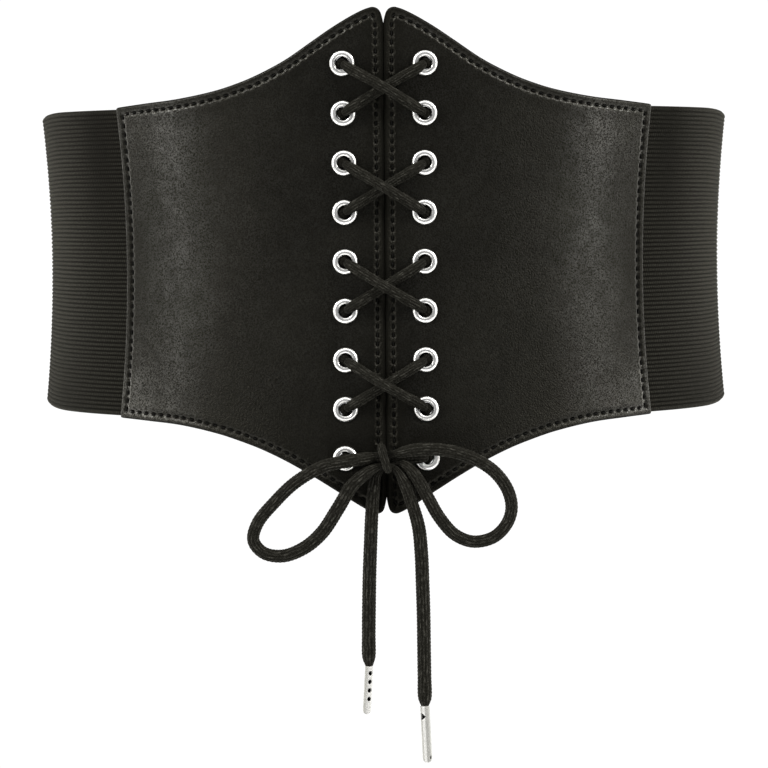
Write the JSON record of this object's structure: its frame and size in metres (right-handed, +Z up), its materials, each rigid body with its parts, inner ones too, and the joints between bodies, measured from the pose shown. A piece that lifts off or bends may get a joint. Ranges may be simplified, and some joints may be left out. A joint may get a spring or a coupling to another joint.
{
  "type": "corset belt",
  "caption": "Lace-up waist belt: two curved front panels peaked at the centre, eyelets and crossed lace tied in a bow, wide elastic round the back.",
  "frame": {"origin": "centre of the wearer's waist, at the mid height of the elastic band", "axes": "+Z up the body, -Y out of the front with the lacing, +X to the right as the front is looked at"},
  "size_m": [0.2846, 0.2062, 0.2908],
  "materials": {
    "leather": "smooth black faux leather with a fine grain, half matt",
    "elastic": "matt black ribbed woven elastic",
    "lace": "matt charcoal braided polyester",
    "metal": "bright nickel plate"
  },
  "bodies": {
    "root": {"front_panel_left": "leather", "front_panel_right": "leather", "elastic_band": "elastic", "eyelet_left_1": "metal", "eyelet_left_2": "metal", "eyelet_left_3": "metal", "eyelet_left_4": "metal", "eyelet_left_5": "metal", "eyelet_left_6": "metal", "eyelet_left_7": "metal", "eyelet_left_8": "metal", "eyelet_left_9": "metal", "eyelet_right_1": "metal", "eyelet_right_2": "metal", "eyelet_right_3": "metal", "eyelet_right_4": "metal", "eyelet_right_5": "metal", "eyelet_right_6": "metal", "eyelet_right_7": "metal", "eyelet_right_8": "metal", "eyelet_right_9": "metal", "lacing": "lace", "lace_left_loop": "lace", "lace_right_loop": "lace", "knot_wrap": "lace", "aglet_left": "metal", "aglet_right": "metal"}
  },
  "joints": []
}
